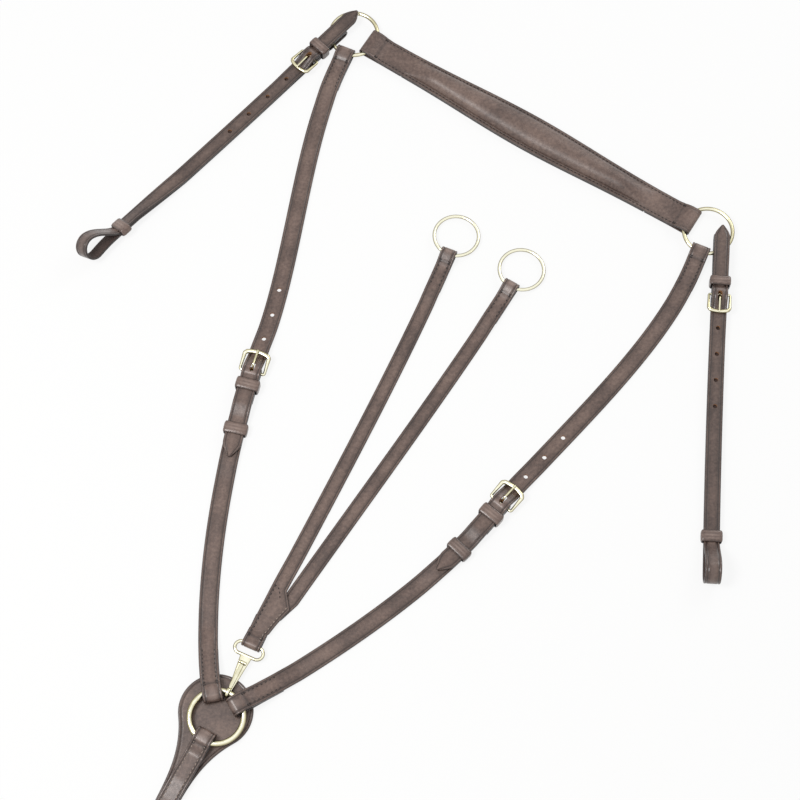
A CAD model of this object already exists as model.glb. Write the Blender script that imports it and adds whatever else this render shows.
"""Looks of a hunting breastplate with a running martingale fork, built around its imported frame."""

import bisect
import math

import bmesh
import bpy
from bpy.props import FloatProperty, FloatVectorProperty, PointerProperty, StringProperty
from mathutils import Matrix, Vector


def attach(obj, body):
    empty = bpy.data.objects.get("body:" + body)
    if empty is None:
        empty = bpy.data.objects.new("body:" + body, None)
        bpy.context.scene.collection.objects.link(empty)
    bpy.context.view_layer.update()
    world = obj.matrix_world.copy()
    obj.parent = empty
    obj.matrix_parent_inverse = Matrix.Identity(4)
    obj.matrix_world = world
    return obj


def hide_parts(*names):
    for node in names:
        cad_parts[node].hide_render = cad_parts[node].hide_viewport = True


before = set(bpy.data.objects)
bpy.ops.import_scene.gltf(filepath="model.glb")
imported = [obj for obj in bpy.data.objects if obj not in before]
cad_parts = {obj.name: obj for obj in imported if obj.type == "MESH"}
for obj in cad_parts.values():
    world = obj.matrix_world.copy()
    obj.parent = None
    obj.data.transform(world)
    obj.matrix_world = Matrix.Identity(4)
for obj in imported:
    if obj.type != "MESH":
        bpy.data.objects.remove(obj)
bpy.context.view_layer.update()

bl_info = {
    "name": "Martingale",
    "version": (1, 0, 0),
    "blender": (4, 5, 0),
    "location": "View3D > Sidebar > Martingale",
    "description": "Builds a leather breastplate with a running martingale fork",
    "category": "Object",
}

MM = 0.001

# Sizes of the frame's pieces, in millimetres
STRAP_W, STRAP_T = 19.0, 2.8
LIGHT_W, LIGHT_T = 16.0, 2.4
TURN_BACK, BUCKLE_BACK = 42.0, 32.0
HOLE_PITCH, HOLE_D = 28.0, 4.4
KEEPER_T, KEEPER_L, SADDLE_KEEPER_L = 1.4, 12.0, 10.0
KEEPER_ROOM, KEEPER_SIDE_ROOM = 0.3, 1.0
BREAST_RING_D, BREAST_WIRE = 57.0, 5.5
WITHER_RING_D, WITHER_WIRE = 54.0, 4.0
REIN_RING_D, REIN_WIRE = 49.0, 3.5
LEFT_REACH, RIGHT_REACH, WITHER_SPAN, LEFT_LAY = 744.0, 704.0, 430.0, 80.3
WITHER_END_W, WITHER_MID_W, WITHER_T, ROLL_H = 29.0, 40.0, 2.2, 9.0
LEFT_HEEL, RIGHT_HEEL = 355.0, 348.0
BUCKLE_L, BUCKLE_FRONT, BILLET_OVER, RUNNER_AT = 21.0, 4.2, 92.0, 62.0
SADDLE_L, LEFT_SADDLE_AT, RIGHT_SADDLE_AT = 375.0, 25.0, 44.0
SADDLE_BUCKLE_L, SADDLE_FRONT, SADDLE_LOOP_H, SADDLE_LOOP_L = 19.0, 3.4, 23.5, 42.0
LEFT_LOOP_ROLL, LOOP_LIP, HOOK_FROM, LEFT_OVER, RIGHT_OVER = 30.0, 115.0, 6.0, 20.0, 5.0
FORK_REACH, FORK_ANGLE, FORK_LEAD, FORK_LAP, FORK_TAIL = 474.0, 9.2, 20.0, 62.0, 34.0
LAP_ANGLE, LAP_ROOM, FLARE_FROM, FLARE_TO = 9.7, 0.6, 8.0, 46.0
TAIL_W, TAIL_TAPER = 0.7 * LIGHT_W, 22.0
SNAP_L, SNAP_WIRE, HOOK_W, HOOK_T, PIN_D = 52.0, 3.2, 3.8, 2.6, 1.8
GIRTH_L, GIRTH_HEEL, GIRTH_LOOP_H, GIRTH_LOOP_L = 480.0, 285.0, 24.0, 92.0
SHIELD_R, SHIELD_TAIL, SHIELD_T, SHIELD_FLARE = 36.0, 112.0, 3.0, 20.0
SHIELD_HEAD, BREAST_SLACK, FIRST_HOLE = Vector((-1.3, 7.0)), 3.0, 17.0
EASE, LAYER_GAP, PIN_GAP, SNAP_EASE = 0.3, 0.15, 0.1, 0.35
BAR, LIGHT_BAR, BAR_EASE = 3.0, 2.6, 0.2
LEFT_LEAVE, RIGHT_LEAVE, SNAP_LEAVE, GIRTH_LEAVE = 100.5, 30.5, 66.0, 241.0

# Heights and radii that follow from them
BREAST_R = (BREAST_RING_D - BREAST_WIRE) / 2
WITHER_R = (WITHER_RING_D - WITHER_WIRE) / 2
REIN_R = (REIN_RING_D - REIN_WIRE) / 2
BREAST_Z = SHIELD_T + STRAP_T + 2 * EASE + BREAST_WIRE / 2
BREAST_LOW = SHIELD_T + EASE + STRAP_T / 2
WITHER_Z = STRAP_T + EASE + WITHER_WIRE / 2
FLOOR_Z, RISE = STRAP_T / 2, STRAP_T + LAYER_GAP
LIGHT_FLOOR_Z, LIGHT_RISE = LIGHT_T / 2, LIGHT_T + LAYER_GAP
LIFTED_Z = KEEPER_T + KEEPER_ROOM + STRAP_T / 2
LIGHT_LIFTED_Z = KEEPER_T + KEEPER_ROOM + LIGHT_T / 2
HEEL_RAD = BAR / 2 + BAR_EASE + STRAP_T / 2
LIGHT_HEEL_RAD = LIGHT_BAR / 2 + BAR_EASE + LIGHT_T / 2
CHAPE_RAD = BAR / 2 + BAR_EASE + LIGHT_T / 2
FRONT_RISE, KEEPER_FROM = 1.5, 9.0
SHOULDER_HEEL_Z = LIFTED_Z + HEEL_RAD
SHOULDER_OVER = LIFTED_Z + 2 * HEEL_RAD + RISE
SHOULDER_FRONT_LOW = LIFTED_Z + FRONT_RISE
SHOULDER_FRONT_Z = SHOULDER_FRONT_LOW + STRAP_T / 2 + EASE + BUCKLE_FRONT / 2
SADDLE_CHAPE = LIGHT_LIFTED_Z + LIGHT_RISE
SADDLE_HEEL_Z = SADDLE_CHAPE + LIGHT_HEEL_RAD
SADDLE_OVER = SADDLE_CHAPE + 2 * LIGHT_HEEL_RAD + LIGHT_RISE
SADDLE_FRONT_LOW = SADDLE_CHAPE + FRONT_RISE
SADDLE_FRONT_Z = SADDLE_FRONT_LOW + LIGHT_T / 2 + EASE + SADDLE_FRONT / 2
SADDLE_MID = SADDLE_CHAPE + LIGHT_RISE
GIRTH_CHAPE = LIFTED_Z + (STRAP_T + LIGHT_T) / 2 + LAYER_GAP
GIRTH_HEEL_Z = GIRTH_CHAPE + CHAPE_RAD
GIRTH_OVER = GIRTH_CHAPE + 2 * CHAPE_RAD + (STRAP_T + LIGHT_T) / 2 + LAYER_GAP
GIRTH_FRONT_LOW = LIFTED_Z + RISE + FRONT_RISE
GIRTH_FRONT_Z = GIRTH_FRONT_LOW + STRAP_T / 2 + EASE + BUCKLE_FRONT / 2
GIRTH_BILLET = GIRTH_CHAPE + LIGHT_RISE + (STRAP_T + LIGHT_T) / 2 + LAYER_GAP
SADDLE_LEAD = 40.0
SADDLE_ASIDE = WITHER_R - WITHER_WIRE / 2 - EASE - LIGHT_W / 2 - 0.7
SADDLE_END = SADDLE_LEAD + SADDLE_L
SADDLE_WIRE_RAD = WITHER_WIRE / 2 + EASE + LIGHT_T / 2
SADDLE_CLEAR = SADDLE_LEAD + WITHER_R + WITHER_WIRE / 2 + EASE
LEFT_SADDLE_HEEL = SADDLE_LEAD + WITHER_RING_D / 2 + LEFT_SADDLE_AT
RIGHT_SADDLE_HEEL = SADDLE_LEAD + WITHER_RING_D / 2 + RIGHT_SADDLE_AT
REIN_NEAR = math.sqrt((REIN_R - REIN_WIRE / 2) ** 2 - (LIGHT_W / 2) ** 2)
REIN_VOID = (REIN_RING_D / 2 - REIN_NEAR) / 2 + EASE
REIN_AXIS_Z = LIGHT_T + REIN_VOID
REIN_AXIS_BACK = (REIN_RING_D / 2 + REIN_NEAR) / 2
REIN_DROOP = math.degrees(math.asin((REIN_AXIS_Z - REIN_WIRE / 2 - 0.1) / (REIN_AXIS_BACK + REIN_R)))
SNAP_EYE_Z = BREAST_Z - BREAST_WIRE / 2 - SNAP_EASE - HOOK_T / 2
FORK_RAD = SNAP_WIRE / 2 + EASE + LIGHT_T / 2
GIRTH_END = GIRTH_L + BREAST_R
SHIELD_OUT = SHIELD_R + SHIELD_HEAD.length + 1 - BREAST_R
TWIST_TO = SADDLE_END - SADDLE_LOOP_L - 26
RIGHT_ASIDE = LIGHT_W + LAP_ROOM - (FORK_LAP - FORK_TAIL) * math.tan(math.radians(LAP_ANGLE))
LAP_FLARE = RIGHT_ASIDE + LIGHT_W / 2 - 1


# Plan: strap routes

def toward(a):
    return Vector((math.cos(math.radians(a)), math.sin(math.radians(a))))


def left_of(a):
    return Vector((-math.sin(math.radians(a)), math.cos(math.radians(a))))


def table_value(xs, ys, x):
    """Straight-line reading of a table, held at its ends."""
    if x <= xs[0]:
        return ys[0]
    if x >= xs[-1]:
        return ys[-1]
    i = bisect.bisect_right(xs, x)
    u = (x - xs[i - 1]) / (xs[i] - xs[i - 1])
    return ys[i - 1] + (ys[i] - ys[i - 1]) * u


class Route:
    """A strap's middle line in plan, through knots of (point, heading), with an optional roll."""

    STEPS = 42

    def __init__(self, knots, rolls=((0, 0), (1, 0))):
        points = []
        for (p0, a0), (p3, a3) in zip(knots, knots[1:]):
            pull = 0.3 * (p3 - p0).length
            p1, p2 = p0 + pull * toward(a0), p3 - pull * toward(a3)
            for j in range(self.STEPS):
                t = j / self.STEPS
                points.append((1 - t) ** 3 * p0 + 3 * (1 - t) ** 2 * t * p1
                              + 3 * (1 - t) * t * t * p2 + t ** 3 * p3)
        points.append(knots[-1][0])
        self.s = [0.0]
        for p, q in zip(points, points[1:]):
            self.s.append(self.s[-1] + (q - p).length)
        self.x = [p.x for p in points]
        self.y = [p.y for p in points]
        self.length = self.s[-1]
        self.roll_s = [r[0] for r in rolls]
        self.roll_a = [r[1] for r in rolls]

    def spot(self, s):
        return Vector((table_value(self.s, self.x, s), table_value(self.s, self.y, s)))

    def heading(self, s):
        d = self.spot(s + 6) - self.spot(s - 6)
        return math.degrees(math.atan2(d.y, d.x))

    def roll(self, s):
        return math.radians(table_value(self.roll_s, self.roll_a, s))

    def lay(self, s, y, z):
        """Point at s along the route, y to its left and z above the floor, in millimetres."""
        p, n, a, q = self.spot(s), left_of(self.heading(s)), self.roll(s), z - LIGHT_T
        side = y * math.cos(a) - q * math.sin(a)
        up = y * math.sin(a) + q * math.cos(a) + LIGHT_T + LIGHT_W / 2 * math.sin(a)
        return Vector((p.x + n.x * side, p.y + n.y * side, up))

    def place(self, s):
        """Matrix that puts a piece on the route: x along it, y to its left, z up, in millimetres."""
        p, a = self.spot(s), self.roll(s)
        return (Matrix.Translation((p.x, p.y, LIGHT_T + LIGHT_W / 2 * math.sin(a)))
                @ Matrix.Rotation(math.radians(self.heading(s)), 4, "Z")
                @ Matrix.Rotation(a, 4, "X") @ Matrix.Translation((0, 0, -LIGHT_T)))


def ring_centres():
    cosine = (LEFT_REACH ** 2 + RIGHT_REACH ** 2 - WITHER_SPAN ** 2) / (2 * LEFT_REACH * RIGHT_REACH)
    spread = math.degrees(math.acos(cosine))
    return LEFT_REACH * toward(LEFT_LAY), RIGHT_REACH * toward(LEFT_LAY - spread)


LEFT_RING, RIGHT_RING = ring_centres()
ORIGIN = Vector((0, 0))
SNAP_FOOT = BREAST_R * toward(SNAP_LEAVE)
SNAP_EYE = SNAP_FOOT + SNAP_L * toward(SNAP_LEAVE)
LEFT_TURN, RIGHT_TURN = -1.0, -1.0 - FORK_ANGLE


def shoulder_route(leave, lean, to, share, aside, mid, arrive):
    chord = math.degrees(math.atan2(to.y, to.x))
    return Route([(ORIGIN, leave), ((BREAST_R + 18) * toward(leave), leave + lean),
                  (share * to + aside * left_of(chord), mid),
                  (to - (WITHER_R + 18) * toward(arrive), arrive), (to, arrive)])


def fold_at(r, wire, reach):
    """Middle of a straight fold that clears a ring's wire within its reach to the side."""
    room = wire / 2 + EASE
    return math.sqrt((r - room) ** 2 - reach ** 2) + room


def part_angle(room):
    """Angle from a shoulder to the saddle strap that passes the corner of its fold with this room."""
    corner = Vector((fold_at(WITHER_R, WITHER_WIRE, STRAP_W / 2) - WITHER_WIRE / 2 - EASE - STRAP_T,
                     STRAP_W / 2 + room))
    return math.degrees(math.atan2(corner.y, corner.x) - math.asin((SADDLE_ASIDE - LIGHT_W / 2) / corner.length))


def saddle_route(centre, a, aside, bend, hook, rolls=((0, 0), (1, 0))):
    foot, b = centre + aside * left_of(a), a + bend
    mid = foot + 120 * toward(a)
    mouth = mid + (SADDLE_L - SADDLE_LOOP_L + HOOK_FROM - 120) * toward(a + bend / 2)
    end = mouth + (SADDLE_LOOP_L - HOOK_FROM + 20) * toward(b + hook / 2)
    return Route([(foot - SADDLE_LEAD * toward(a), a), (mid, a), (mouth, b), (end, b + hook)], rolls)


def rein_ring_at(turn):
    return SNAP_EYE + FORK_REACH * toward(SNAP_LEAVE + turn)


def rein_ring_heading(turn):
    return SNAP_LEAVE + turn + 2.6


def fork_route(turn, knots):
    to, a = rein_ring_at(turn), rein_ring_heading(turn)
    return Route(knots + [(to - (REIN_R + 18) * toward(a), a), (to, a)])


WITHER_HEADING = math.degrees(math.atan2(*(RIGHT_RING - LEFT_RING).yx))
LEFT_ARRIVE, RIGHT_ARRIVE = WITHER_HEADING + 99.2, WITHER_HEADING + 98.8
RIGHT_TAIL = SNAP_EYE + FORK_TAIL * toward(SNAP_LEAVE) - RIGHT_ASIDE * left_of(SNAP_LEAVE)
ROUTES = {
    "left": shoulder_route(LEFT_LEAVE, -4, LEFT_RING, 0.52, 29, 71.8, LEFT_ARRIVE),
    "right": shoulder_route(RIGHT_LEAVE, 0, RIGHT_RING, 0.459, -49.4, 50.7, RIGHT_ARRIVE),
    "wither": Route([(LEFT_RING, WITHER_HEADING), (RIGHT_RING, WITHER_HEADING)]),
    "left_saddle": saddle_route(LEFT_RING, LEFT_ARRIVE + 180 - part_angle(3.6), -SADDLE_ASIDE, -1.5, 20,
                                ((TWIST_TO - 64, 0), (TWIST_TO, LEFT_LOOP_ROLL))),
    "right_saddle": saddle_route(RIGHT_RING, RIGHT_ARRIVE + 180 + part_angle(2.7), SADDLE_ASIDE, 1.5, 0),
    "left_fork": fork_route(LEFT_TURN, [
        (SNAP_EYE - FORK_LEAD * toward(SNAP_LEAVE), SNAP_LEAVE), (SNAP_EYE, SNAP_LEAVE),
        (SNAP_EYE + FORK_LAP * toward(SNAP_LEAVE - 0.4), SNAP_LEAVE - 2.5)]),
    "right_fork": fork_route(RIGHT_TURN, [(RIGHT_TAIL, SNAP_LEAVE - LAP_ANGLE)]),
    "girth": Route([(ORIGIN, GIRTH_LEAVE), ((SHIELD_TAIL + 20) * toward(GIRTH_LEAVE), GIRTH_LEAVE),
                    ((GIRTH_L + BREAST_R + 20) * toward(GIRTH_LEAVE + 2), GIRTH_LEAVE + 5)]),
}
HEELS = {"left": LEFT_HEEL, "right": RIGHT_HEEL, "left_saddle": LEFT_SADDLE_HEEL,
         "right_saddle": RIGHT_SADDLE_HEEL, "girth": GIRTH_HEEL}


# Side paths: stations of (s, z, width, shift to the left) along a route

# Steps of a smooth leg
SLOW, QUICK = 12, 8


def smooth(u):
    return 0.5 * u + 0.5 * u * u * (3 - 2 * u)


def glide(a, b, w, n=SLOW):
    return [(a[0] + (b[0] - a[0]) * i / n, a[1] + (b[1] - a[1]) * smooth(i / n), w, 0.0) for i in range(n)]


def run(a, b, w):
    n = max(1, round(abs(b[0] - a[0]) / 7))
    return [(a[0] + (b[0] - a[0]) * i / n, a[1] + (b[1] - a[1]) * i / n, w, 0.0) for i in range(n)]


def trace(w, start, *legs):
    """Stations from a start through legs: straight to (s, z), or smoothly to (s, z, steps)."""
    out = []
    for leg in legs:
        out += glide(start, leg, w, leg[2]) if len(leg) > 2 else run(start, leg, w)
        start = leg
    return out


def level(z, w, *spots):
    return [(s, z, w, 0.0) for s in spots]


def turn(c, r, start, stop, w, n=20):
    angles = [math.radians(start + (stop - start) * i / n) for i in range(n + 1)]
    return [(c[0] + r * math.cos(q), c[1] + r * math.sin(q), w, 0.0) for q in angles]


def pointed(s, z, w):
    steps = 14
    return [(s + w * 0.85 * u / steps, z, w * (0.12 + 0.88 * math.sin(math.pi / 2 * u / steps)), 0.0)
            for u in range(steps + 1)]


def ring_fold(c, way, ring_r, wire, w, t, low, tail_z, flat=12.0, slack=0.0):
    """A strap's end folded round a ring at c and sewn back on itself."""
    rad, near = wire / 2 + EASE + t / 2, fold_at(ring_r, wire, w / 2) - slack
    tail, top = ring_r + TURN_BACK, low + t + LAYER_GAP
    half = (trace(w, (tail, tail_z), (ring_r + flat, low, SLOW), (near, low))
            + turn((near, low + rad), rad, 270, 90, w)
            + trace(w, (ring_r + 0.5, low + 2 * rad), (ring_r + flat + 4, top, SLOW),
                    (tail, tail_z + t + LAYER_GAP, SLOW)))
    return [(c + way * s, z, width, shift) for s, z, width, shift in half]


def over_heel(h, length, back, over, low, w):
    """A billet's way over the heel bar and under the front bar of a buckle."""
    return (glide((h - KEEPER_FROM, back), (h - 3, over), w, QUICK) + level(over, w, h - 3, h)
            + glide((h + 2, over), (h + length - 3, low), w) + level(low, w, h + length - 3, h + length + 3))


def shoulder_strap_path(h):
    w, free, rise_from, on = STRAP_W, BREAST_R + TURN_BACK, h - BILLET_OVER - 24, LIFTED_Z + RISE
    return (ring_fold(0, 1, BREAST_R, BREAST_WIRE, w, STRAP_T, BREAST_LOW, FLOOR_Z, SHIELD_OUT, BREAST_SLACK)
            + trace(w, (free, FLOOR_Z + RISE), (free + 22, FLOOR_Z, SLOW), (rise_from, FLOOR_Z),
                    (rise_from + 26, LIFTED_Z, SLOW), (h - BUCKLE_BACK - 18, LIFTED_Z),
                    (h - BUCKLE_BACK - 3, on, SLOW), (h - KEEPER_FROM, on), (h, LIFTED_Z + 2 * HEEL_RAD, QUICK))
            + turn((h, LIFTED_Z + HEEL_RAD), HEEL_RAD, 90, -90, w)
            + level(LIFTED_Z, w, h - 8, h - 20, h - BUCKLE_BACK))


def shoulder_billet_path(h, end):
    w, tip, on, sewn = STRAP_W, h - BILLET_OVER, LIFTED_Z + RISE, end - WITHER_R - TURN_BACK
    return (pointed(tip, on, w)
            + trace(w, (tip + w, on), (h - BUCKLE_BACK - 18, on), (h - BUCKLE_BACK - 3, on + RISE, SLOW),
                    (h - KEEPER_FROM, on + RISE))
            + over_heel(h, BUCKLE_L, on + RISE, SHOULDER_OVER, SHOULDER_FRONT_LOW, w)
            + trace(w, (h + BUCKLE_L + 4, SHOULDER_FRONT_LOW), (h + BUCKLE_L + 34, FLOOR_Z, SLOW),
                    (sewn - 22, FLOOR_Z), (sewn, FLOOR_Z + RISE, SLOW))
            + ring_fold(end, -1, WITHER_R, WITHER_WIRE, w, STRAP_T, FLOOR_Z, FLOOR_Z)[::-1])


def saddle_path(h, over):
    """Buckle turn-back, over the ring's wire, along the floor, round the loop and back to the point."""
    w, rad, clear, low = LIGHT_W, SADDLE_WIRE_RAD, SADDLE_CLEAR, LIGHT_LIFTED_Z
    near = SADDLE_LEAD + fold_at(WITHER_R, WITHER_WIRE, SADDLE_ASIDE + w / 2)
    keeper_end, end_r, on = h - KEEPER_FROM - SADDLE_KEEPER_L - 1, SADDLE_LOOP_H / 2, low + LIGHT_RISE
    opened, top, tip = SADDLE_END - SADDLE_LOOP_L, WITHER_Z + rad + LIGHT_RISE, SADDLE_LEAD - over
    far, middle = h + SADDLE_BUCKLE_L, Vector((SADDLE_END - end_r, low + end_r))
    lip = middle + end_r * toward(LOOP_LIP) + 1.2 * toward(LOOP_LIP + 90)
    return (run((h - 17, SADDLE_CHAPE), (h, SADDLE_CHAPE), w)
            + turn((h, SADDLE_HEEL_Z), LIGHT_HEEL_RAD, -90, 90, w)
            + glide((h - 1, SADDLE_CHAPE + 2 * LIGHT_HEEL_RAD), (h - KEEPER_FROM, SADDLE_MID), w, QUICK)
            + trace(w, (h - KEEPER_FROM - 4, SADDLE_MID), (clear, WITHER_Z + rad, QUICK), (near, WITHER_Z + rad))
            + turn((near, WITHER_Z), rad, 90, 270, w)
            + trace(w, (near + 2, WITHER_Z - rad), (clear + 0.5, WITHER_Z - rad), (keeper_end, low, 6),
                    (TWIST_TO, low), (middle.x, low))
            + turn(middle, end_r, -90, LOOP_LIP, w, 36)
            + trace(w, lip, (opened, on, 16), (TWIST_TO, on), (far + 30, on), (far + 4, SADDLE_FRONT_LOW, SLOW))
            + over_heel(h, SADDLE_BUCKLE_L, SADDLE_MID + LIGHT_RISE, SADDLE_OVER, SADDLE_FRONT_LOW, w)[::-1]
            + trace(w, (h - KEEPER_FROM - 4, SADDLE_MID + LIGHT_RISE), (clear, top, QUICK), (tip + w, top))
            + pointed(tip, top, w)[::-1])


def rein_fold(end):
    axis, rad, w, low = end - REIN_AXIS_BACK, REIN_VOID + LIGHT_T / 2, LIGHT_W, LIGHT_FLOOR_Z
    sewn, on = axis - TURN_BACK, low + LIGHT_RISE
    return (trace(w, (sewn - 20, low), (sewn, on, SLOW), (axis - 16, on), (axis, REIN_AXIS_Z + rad, SLOW))
            + turn((axis, REIN_AXIS_Z), rad, 90, -90, w)
            + level(low, w, axis - 6) + run((axis - 12, low), (sewn, low), w) + level(low, w, sewn))


def lap_left(x):
    return LIGHT_W / 2 + (STRAP_W - LIGHT_W) / 2 * max(0.0, 1 - x / FLARE_TO)


def lap_right(x):
    share = max(0.0, (x - FLARE_FROM) / (FLARE_TO - FLARE_FROM))
    return STRAP_W / 2 + (LAP_FLARE - STRAP_W / 2) * share ** 1.3


def fork_left_path():
    """Under the snap's eye, round it, out on top where it flares over the right branch, and on to the ring."""
    eye, low, on, w, end_w = FORK_LEAD, SNAP_EYE_Z - FORK_RAD, LIGHT_FLOOR_Z + LIGHT_RISE, LIGHT_W, STRAP_W
    end, crotch = ROUTES["left_fork"].length, FORK_LEAD + FORK_LAP
    flare = [(eye + x, on, lap_left(x) + lap_right(x), (lap_left(x) - lap_right(x)) / 2)
             for x in (16 + 2.5 * i for i in range(13))]
    return (level(LIGHT_FLOOR_Z, end_w, eye + FORK_TAIL - 4, eye + 20)
            + [(eye + 8, LIGHT_FLOOR_Z + 0.1, end_w, 0.0)]
            + turn((eye, SNAP_EYE_Z), FORK_RAD, 270, 90, end_w)
            + glide((eye + 0.5, low + 2 * FORK_RAD), (eye + 16, on), end_w) + flare
            + level(on, w, crotch, crotch + 6)
            + trace(w, (crotch + 8, on), (crotch + 36, LIGHT_FLOOR_Z, SLOW),
                    (end - REIN_AXIS_BACK - TURN_BACK - 20, LIGHT_FLOOR_Z))
            + rein_fold(end))


def fork_right_path():
    end = ROUTES["right_fork"].length
    tail = []
    for i in range(4):
        w = TAIL_W + (LIGHT_W - TAIL_W) * i / 4
        tail.append((TAIL_TAPER * i / 4, LIGHT_FLOOR_Z, w, (LIGHT_W - w) / 2))
    return tail + run((TAIL_TAPER, LIGHT_FLOOR_Z),
                      (end - REIN_AXIS_BACK - TURN_BACK - 20, LIGHT_FLOOR_Z), LIGHT_W) + rein_fold(end)


def girth_path():
    w, h, far, sewn, end_r = STRAP_W, GIRTH_HEEL, GIRTH_HEEL + BUCKLE_L, BREAST_R + TURN_BACK, GIRTH_LOOP_H / 2
    rise_from, on, floor_on = h - BILLET_OVER - 24, LIFTED_Z + RISE, FLOOR_Z + RISE
    return (ring_fold(0, 1, BREAST_R, BREAST_WIRE, w, STRAP_T, BREAST_LOW, BREAST_LOW, 12, BREAST_SLACK)
            + trace(w, (sewn, BREAST_LOW + RISE), (sewn + 22, BREAST_LOW, SLOW), (SHIELD_TAIL + 2, BREAST_LOW),
                    (SHIELD_TAIL + 26, FLOOR_Z, SLOW), (rise_from, FLOOR_Z), (rise_from + 26, LIFTED_Z, SLOW),
                    (far + 20, LIFTED_Z), (far + 50, FLOOR_Z, SLOW), (GIRTH_END - end_r, FLOOR_Z))
            + turn((GIRTH_END - end_r, FLOOR_Z + end_r), end_r, -90, 90, w, 32)
            + trace(w, (GIRTH_END - end_r - 6, FLOOR_Z + GIRTH_LOOP_H), (GIRTH_END - GIRTH_LOOP_L, floor_on, 18),
                    (far + 54, floor_on), (far + 20, on, SLOW), (far + 4, GIRTH_FRONT_LOW, QUICK))
            + over_heel(h, BUCKLE_L, GIRTH_BILLET, GIRTH_OVER, GIRTH_FRONT_LOW, w)[::-1]
            + trace(w, (h - KEEPER_FROM - 2, GIRTH_BILLET), (h - BUCKLE_BACK - 3, GIRTH_BILLET),
                    (h - BUCKLE_BACK - 18, on, SLOW), (h - BILLET_OVER + w, on))
            + pointed(h - BILLET_OVER, on, w)[::-1])


def girth_chape_path():
    w, h, top = STRAP_W, GIRTH_HEEL, GIRTH_CHAPE + LIGHT_RISE
    return (run((h - BUCKLE_BACK, GIRTH_CHAPE), (h, GIRTH_CHAPE), w)
            + turn((h, GIRTH_HEEL_Z), CHAPE_RAD, -90, 90, w)
            + trace(w, (h - 1, GIRTH_HEEL_Z + CHAPE_RAD), (h - KEEPER_FROM, top, QUICK), (h - BUCKLE_BACK, top))
            + level(top, w, h - BUCKLE_BACK))


# Materials

def linear(hex_colour):
    """sRGB hex to linear RGBA."""
    out = []
    for i in (1, 3, 5):
        c = int(hex_colour[i:i + 2], 16) / 255
        out.append(c / 12.92 if c <= 0.04045 else ((c + 0.055) / 1.055) ** 2.4)
    return (*out, 1.0)


def add_node(tree, kind, values=None, links=None, **settings):
    """Adds a node with its settings, socket values and incoming links."""
    node = tree.nodes.new(kind)
    for name, value in settings.items():
        setattr(node, name, value)
    for name, value in (values or {}).items():
        node.inputs[name].default_value = value
    for name, source in (links or {}).items():
        tree.links.new(source, node.inputs[name])
    return node


def new_material(name, **constants):
    made = bpy.data.materials.new(name)
    made.use_nodes = True
    tree = made.node_tree
    tree.nodes.clear()
    shader = add_node(tree, "ShaderNodeBsdfPrincipled", constants)
    add_node(tree, "ShaderNodeOutputMaterial", links={"Surface": shader.outputs[0]})
    coords = add_node(tree, "ShaderNodeTexCoord").outputs["Object"]
    return made, tree, shader, coords


def noise(tree, coords, size, **values):
    """Noise with features of a size in millimetres."""
    return add_node(tree, "ShaderNodeTexNoise", {"Scale": 1 / (size * MM), **values}, {"Vector": coords}).outputs[0]


def bump(tree, height, strength, depth, **under):
    """Normals raised by a depth in millimetres, over earlier ones where those are given."""
    return add_node(tree, "ShaderNodeBump", {"Strength": strength, "Distance": depth * MM},
                    {"Height": height, **under}).outputs[0]


def ramp(tree, source, stops):
    node = add_node(tree, "ShaderNodeValToRGB", links={"Fac": source})
    elements = node.color_ramp.elements
    while len(elements) < len(stops):
        elements.new(0.5)
    for element, (place, colour) in zip(elements, stops):
        element.position, element.color = place, colour
    return node.outputs["Color"]


def grey(v):
    return (v, v, v, 1.0)


def leather_material(name, light, mid, dark, edge, roughness, grain_height, wrinkle=0.0):
    """Waxed bridle leather: drum-dyed hide, glazed grain with fine pores, edges inked and burnished.
    The burnish attribute runs from -1, rubbed pale, through 0 to 1, inked dark."""
    _, tree, shader, coords = new_material(
        name, **{"IOR": 1.46, "Specular IOR Level": 0.45, "Coat Weight": 0.45, "Coat Roughness": roughness - 0.07})
    # Cloudy dye over 45 mm, finer mottling over 3 mm
    cloud = noise(tree, coords, 45, Detail=5.0, Roughness=0.6)
    mottle = noise(tree, coords, 3, Detail=3.0, Roughness=0.65)
    both = add_node(tree, "ShaderNodeMix", {0: 0.45}, {2: cloud, 3: mottle}).outputs[0]
    dye = ramp(tree, both, [(0.38, dark), (0.5, mid), (0.63, light)])
    worn = add_node(tree, "ShaderNodeAttribute", attribute_name="burnish").outputs["Fac"]
    inked = add_node(tree, "ShaderNodeMix", {7: edge}, {0: worn, 6: dye}, data_type="RGBA")
    rub = add_node(tree, "ShaderNodeMath", {1: -1.0}, {0: worn}, operation="MULTIPLY", use_clamp=True)
    pale = tuple(min(1.0, 1.7 * v + 0.8 * light[1]) for v in light[:3]) + (1.0,)
    rubbed = add_node(tree, "ShaderNodeMix", {7: pale}, {0: rub.outputs[0], 6: inked.outputs[2]}, data_type="RGBA")
    tree.links.new(rubbed.outputs[2], shader.inputs["Base Color"])
    gloss = ramp(tree, both, [(0.36, grey(roughness + 0.1)), (0.64, grey(roughness - 0.08))])
    tree.links.new(gloss, shader.inputs["Roughness"])
    # Pores about 0.9 mm apart, a little coarse so that they show, and soft creasing over 7 mm
    pores = add_node(tree, "ShaderNodeTexVoronoi", {"Scale": 1 / (0.9 * MM)}, {"Vector": coords},
                     feature="SMOOTH_F1")
    crease = noise(tree, coords, 7, Detail=5.0, Distortion=0.8)
    height = add_node(tree, "ShaderNodeMix", {0: 0.6}, {2: pores.outputs[0], 3: crease})
    normal = bump(tree, height.outputs[0], 0.6, grain_height)
    if wrinkle:
        normal = bump(tree, noise(tree, coords, 3.2, Detail=3.0, Distortion=1.6), 0.8, wrinkle, Normal=normal)
    tree.links.new(normal, shader.inputs["Normal"])


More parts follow.
